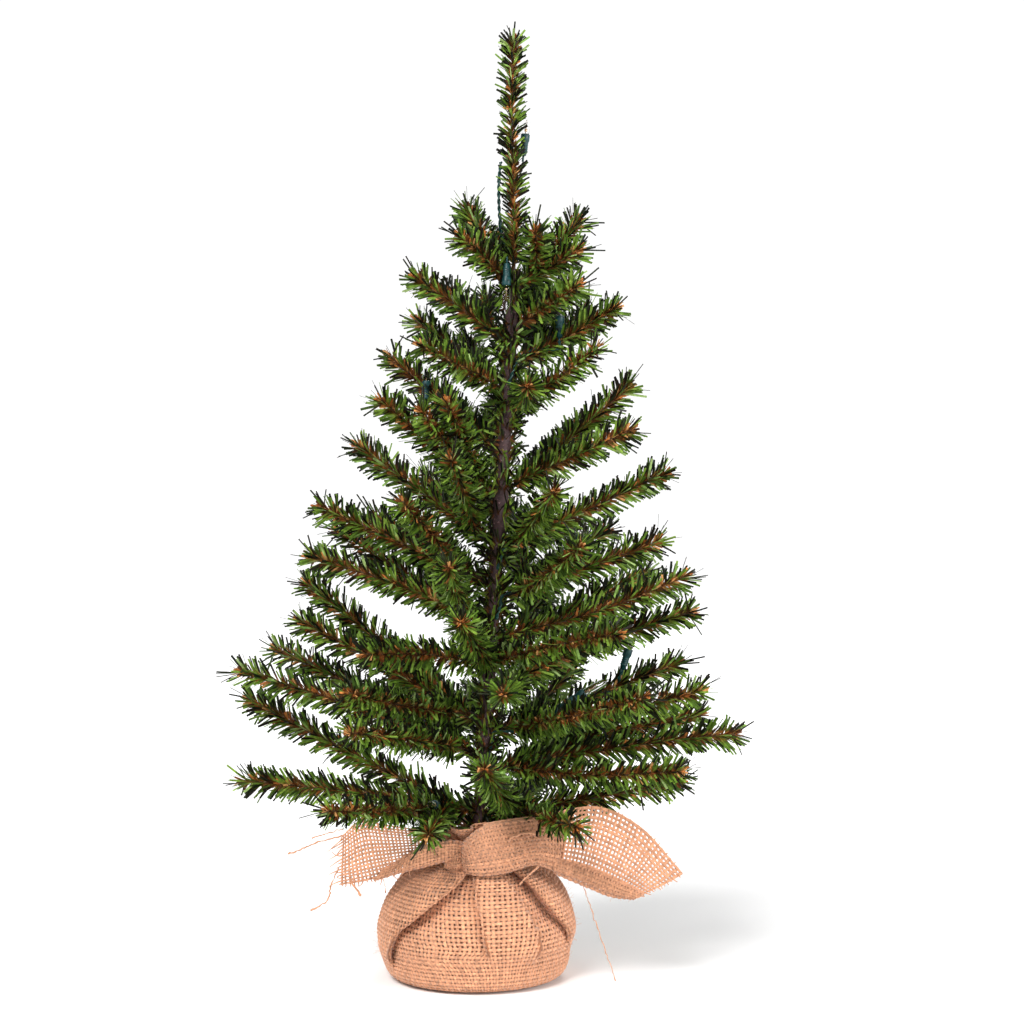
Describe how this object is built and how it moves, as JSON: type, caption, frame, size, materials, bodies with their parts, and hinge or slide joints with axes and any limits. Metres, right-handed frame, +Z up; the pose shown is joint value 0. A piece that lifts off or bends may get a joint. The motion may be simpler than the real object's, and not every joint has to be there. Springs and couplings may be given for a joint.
{
  "type": "artificial tabletop tree",
  "caption": "Small artificial fir on a leaning taped trunk, with bendable wire branches of plastic needles, a string of mini lamps and a weighted base in a tied burlap sack.",
  "frame": {"origin": "centre of the base's flat underside, on the surface the tree stands on", "axes": "+Z up; the trunk leans towards +X; -Y is the front, where the burlap strip is knotted"},
  "size_m": [0.3281, 0.2741, 0.6101],
  "materials": {
    "core_steel": "matte",
    "trunk_tape": "satin",
    "branch_wire": "satin",
    "needles": "satin",
    "cement": "matte",
    "burlap": "matte",
    "string_wire": "satin",
    "socket": "satin",
    "bulb_glass": "gloss"
  },
  "bodies": {
    "trunk": {"trunk_core_wires": "core_steel", "trunk_tape": "trunk_tape", "leader_wire": "branch_wire", "leader_needles": "needles", "base_weight": "cement", "burlap_sack": "burlap", "burlap_tie": "burlap", "light_wire": "string_wire", "lamp_sockets": "socket", "lamp_bulbs": "bulb_glass"},
    "branch_01": {"branch_01_wire": "branch_wire", "branch_01_needles": "needles"},
    "branch_02": {"branch_02_wire": "branch_wire", "branch_02_needles": "needles"},
    "branch_03": {"branch_03_wire": "branch_wire", "branch_03_needles": "needles"},
    "branch_04": {"branch_04_wire": "branch_wire", "branch_04_needles": "needles"},
    "branch_05": {"branch_05_wire": "branch_wire", "branch_05_needles": "needles"},
    "branch_06": {"branch_06_wire": "branch_wire", "branch_06_needles": "needles"},
    "branch_07": {"branch_07_wire": "branch_wire", "branch_07_needles": "needles"},
    "branch_08": {"branch_08_wire": "branch_wire", "branch_08_needles": "needles"},
    "branch_09": {"branch_09_wire": "branch_wire", "branch_09_needles": "needles"},
    "branch_10": {"branch_10_wire": "branch_wire", "branch_10_needles": "needles"},
    "branch_11": {"branch_11_wire": "branch_wire", "branch_11_needles": "needles"},
    "branch_12": {"branch_12_wire": "branch_wire", "branch_12_needles": "needles"},
    "branch_13": {"branch_13_wire": "branch_wire", "branch_13_needles": "needles"},
    "branch_14": {"branch_14_wire": "branch_wire", "branch_14_needles": "needles"},
    "branch_15": {"branch_15_wire": "branch_wire", "branch_15_needles": "needles"},
    "branch_16": {"branch_16_wire": "branch_wire", "branch_16_needles": "needles"},
    "branch_17": {"branch_17_wire": "branch_wire", "branch_17_needles": "needles"},
    "branch_18": {"branch_18_wire": "branch_wire", "branch_18_needles": "needles"},
    "branch_19": {"branch_19_wire": "branch_wire", "branch_19_needles": "needles"},
    "branch_20": {"branch_20_wire": "branch_wire", "branch_20_needles": "needles", "branch_20_sockets": "socket", "branch_20_bulbs": "bulb_glass"},
    "branch_21": {"branch_21_wire": "branch_wire", "branch_21_needles": "needles"},
    "branch_22": {"branch_22_wire": "branch_wire", "branch_22_needles": "needles"},
    "branch_23": {"branch_23_wire": "branch_wire", "branch_23_needles": "needles"},
    "branch_24": {"branch_24_wire": "branch_wire", "branch_24_needles": "needles"}
  },
  "joints": [
    {"name": "branch_01_bend", "type": "hinge", "parent": "trunk", "child": "branch_01", "pos_m": [0.01951, -0.00281, 0.45], "axis": [-0.5299, 0.848, 0], "range_deg": [-25, 20], "deforming": ["branch_01_needles"]},
    {"name": "branch_02_bend", "type": "hinge", "parent": "trunk", "child": "branch_02", "pos_m": [0.02922, -0.00092, 0.446], "axis": [-0.1736, -0.9848, 0], "range_deg": [-25, 35], "deforming": ["branch_02_needles"]},
    {"name": "branch_03_bend", "type": "hinge", "parent": "trunk", "child": "branch_03", "pos_m": [0.0274, -0.00326, 0.42], "axis": [-0.6157, -0.788, 0], "range_deg": [-25, 35], "deforming": ["branch_03_needles"]},
    {"name": "branch_04_bend", "type": "hinge", "parent": "trunk", "child": "branch_04", "pos_m": [0.01741, -0.00018, 0.412], "axis": [-0.0349, 0.9994, 0], "range_deg": [-25, 30], "deforming": ["branch_04_needles"]},
    {"name": "branch_05_bend", "type": "hinge", "parent": "trunk", "child": "branch_05", "pos_m": [0.02696, -0.00046, 0.396], "axis": [-0.0872, -0.9962, 0], "range_deg": [-25, 30], "deforming": ["branch_05_needles"]},
    {"name": "branch_06_bend", "type": "hinge", "parent": "trunk", "child": "branch_06", "pos_m": [0.01636, -0.00312, 0.38], "axis": [-0.5878, 0.809, 0], "range_deg": [-25, 40], "deforming": ["branch_06_needles"]},
    {"name": "branch_07_bend", "type": "hinge", "parent": "trunk", "child": "branch_07", "pos_m": [0.02424, -0.00281, 0.366], "axis": [-0.5299, -0.848, 0], "range_deg": [-25, 30], "deforming": ["branch_07_needles"]},
    {"name": "branch_08_bend", "type": "hinge", "parent": "trunk", "child": "branch_08", "pos_m": [0.01282, 0.00074, 0.34], "axis": [0.1392, 0.9903, 0], "range_deg": [-25, 20], "deforming": ["branch_08_needles"]},
    {"name": "branch_09_bend", "type": "hinge", "parent": "trunk", "child": "branch_09", "pos_m": [0.02165, -0.00155, 0.317], "axis": [-0.2924, -0.9563, 0], "range_deg": [-25, 40], "deforming": ["branch_09_needles"]},
    {"name": "branch_10_bend", "type": "hinge", "parent": "trunk", "child": "branch_10", "pos_m": [0.0116, -0.00265, 0.311], "axis": [-0.5, 0.866, 0], "range_deg": [-25, 30], "deforming": ["branch_10_needles"]},
    {"name": "branch_11_bend", "type": "hinge", "parent": "trunk", "child": "branch_11", "pos_m": [0.00916, 0.00119, 0.282], "axis": [0.225, 0.9744, 0], "range_deg": [-25, 30], "deforming": ["branch_11_needles"]},
    {"name": "branch_12_bend", "type": "hinge", "parent": "trunk", "child": "branch_12", "pos_m": [0.01936, -0.00018, 0.278], "axis": [-0.0349, -0.9994, 0], "range_deg": [-25, 35], "deforming": ["branch_12_needles"]},
    {"name": "branch_13_bend", "type": "hinge", "parent": "trunk", "child": "branch_13", "pos_m": [0.00728, -0.00009, 0.255], "axis": [-0.0175, 0.9998, 0], "range_deg": [-25, 30], "deforming": ["branch_13_needles"]},
    {"name": "branch_14_bend", "type": "hinge", "parent": "trunk", "child": "branch_14", "pos_m": [0.01722, 0.00092, 0.246], "axis": [0.1736, -0.9848, 0], "range_deg": [-25, 15], "deforming": ["branch_14_needles"]},
    {"name": "branch_15_bend", "type": "hinge", "parent": "trunk", "child": "branch_15", "pos_m": [0.00578, -0.00074, 0.231], "axis": [-0.1392, 0.9903, 0], "range_deg": [-25, 15], "deforming": ["branch_15_needles"]},
    {"name": "branch_16_bend", "type": "hinge", "parent": "trunk", "child": "branch_16", "pos_m": [0.01559, -0.00055, 0.22], "axis": [-0.1045, -0.9945, 0], "range_deg": [-25, 20], "deforming": ["branch_16_needles"]},
    {"name": "branch_17_bend", "type": "hinge", "parent": "trunk", "child": "branch_17", "pos_m": [0.00842, -0.00525, 0.202], "axis": [-0.9903, 0.1392, 0], "range_deg": [-15, 45], "deforming": ["branch_17_needles"]},
    {"name": "branch_18_bend", "type": "hinge", "parent": "trunk", "child": "branch_18", "pos_m": [0.01348, 0.00037, 0.187], "axis": [0.0698, -0.9976, 0], "range_deg": [-25, 30], "deforming": ["branch_18_needles"]},
    {"name": "branch_19_bend", "type": "hinge", "parent": "trunk", "child": "branch_19", "pos_m": [0.00151, 0.00065, 0.165], "axis": [0.1219, 0.9925, 0], "range_deg": [-25, 15], "deforming": ["branch_19_needles"]},
    {"name": "branch_20_bend", "type": "hinge", "parent": "trunk", "child": "branch_20", "pos_m": [0.01147, 0.00128, 0.158], "axis": [0.2419, -0.9703, 0], "range_deg": [-25, 20], "deforming": ["branch_20_needles"]},
    {"name": "branch_21_bend", "type": "hinge", "parent": "trunk", "child": "branch_21", "pos_m": [0.0002, -0.00037, 0.145], "axis": [-0.0698, 0.9976, 0], "range_deg": [-25, 30], "deforming": ["branch_21_needles"]},
    {"name": "branch_22_bend", "type": "hinge", "parent": "trunk", "child": "branch_22", "pos_m": [0.01003, -0.00065, 0.134], "axis": [-0.1219, -0.9925, 0], "range_deg": [-20, 20], "deforming": ["branch_22_needles"]},
    {"name": "branch_23_bend", "type": "hinge", "parent": "trunk", "child": "branch_23", "pos_m": [-0.00216, -0.00065, 0.108], "axis": [-0.1219, 0.9925, 0], "range_deg": [-15, 25], "deforming": ["branch_23_needles"]},
    {"name": "branch_24_bend", "type": "hinge", "parent": "trunk", "child": "branch_24", "pos_m": [0.00833, 0, 0.107], "axis": [0, -1, 0], "range_deg": [-5, 35], "deforming": ["branch_24_needles"]}
  ]
}
